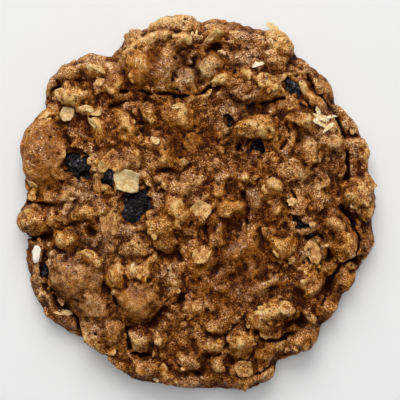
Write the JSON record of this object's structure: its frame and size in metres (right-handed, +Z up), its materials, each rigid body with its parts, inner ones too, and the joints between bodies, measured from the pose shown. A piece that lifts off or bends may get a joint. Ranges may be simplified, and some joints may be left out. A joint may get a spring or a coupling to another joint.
{
  "type": "oatmeal raisin cookie",
  "caption": "Round baked cookie with a lumpy, cracked crust, a ragged thin rim, plump raisins and rolled-oat flakes; a solid snack that lies flat.",
  "frame": {"origin": "middle of the flat underside, under the centre of the outline's box", "axes": "+Z up through the cookie's thickness, +Y towards the thick folded edge, +X to the right of it"},
  "size_m": [0.0898, 0.0938, 0.0134],
  "materials": {
    "baked_dough": "baked golden-brown crust, rough and porous, darker in its cracks",
    "raisin_skin": "near-black wrinkled skin with a soft sheen",
    "oat_flake": "pale toasted oat, dull"
  },
  "bodies": {
    "root": {"cookie_dough": "baked_dough", "raisin_1": "raisin_skin", "raisin_2": "raisin_skin", "raisin_3": "raisin_skin", "raisin_4": "raisin_skin", "raisin_5": "raisin_skin", "raisin_6": "raisin_skin", "raisin_7": "raisin_skin", "raisin_8": "raisin_skin", "oat_flake_1": "oat_flake", "oat_flake_2": "oat_flake", "oat_flake_3": "oat_flake", "oat_flake_4": "oat_flake", "oat_flake_5": "oat_flake", "oat_flake_6": "oat_flake", "oat_flake_7": "oat_flake", "oat_flake_8": "oat_flake", "oat_flake_9": "oat_flake"}
  },
  "joints": []
}
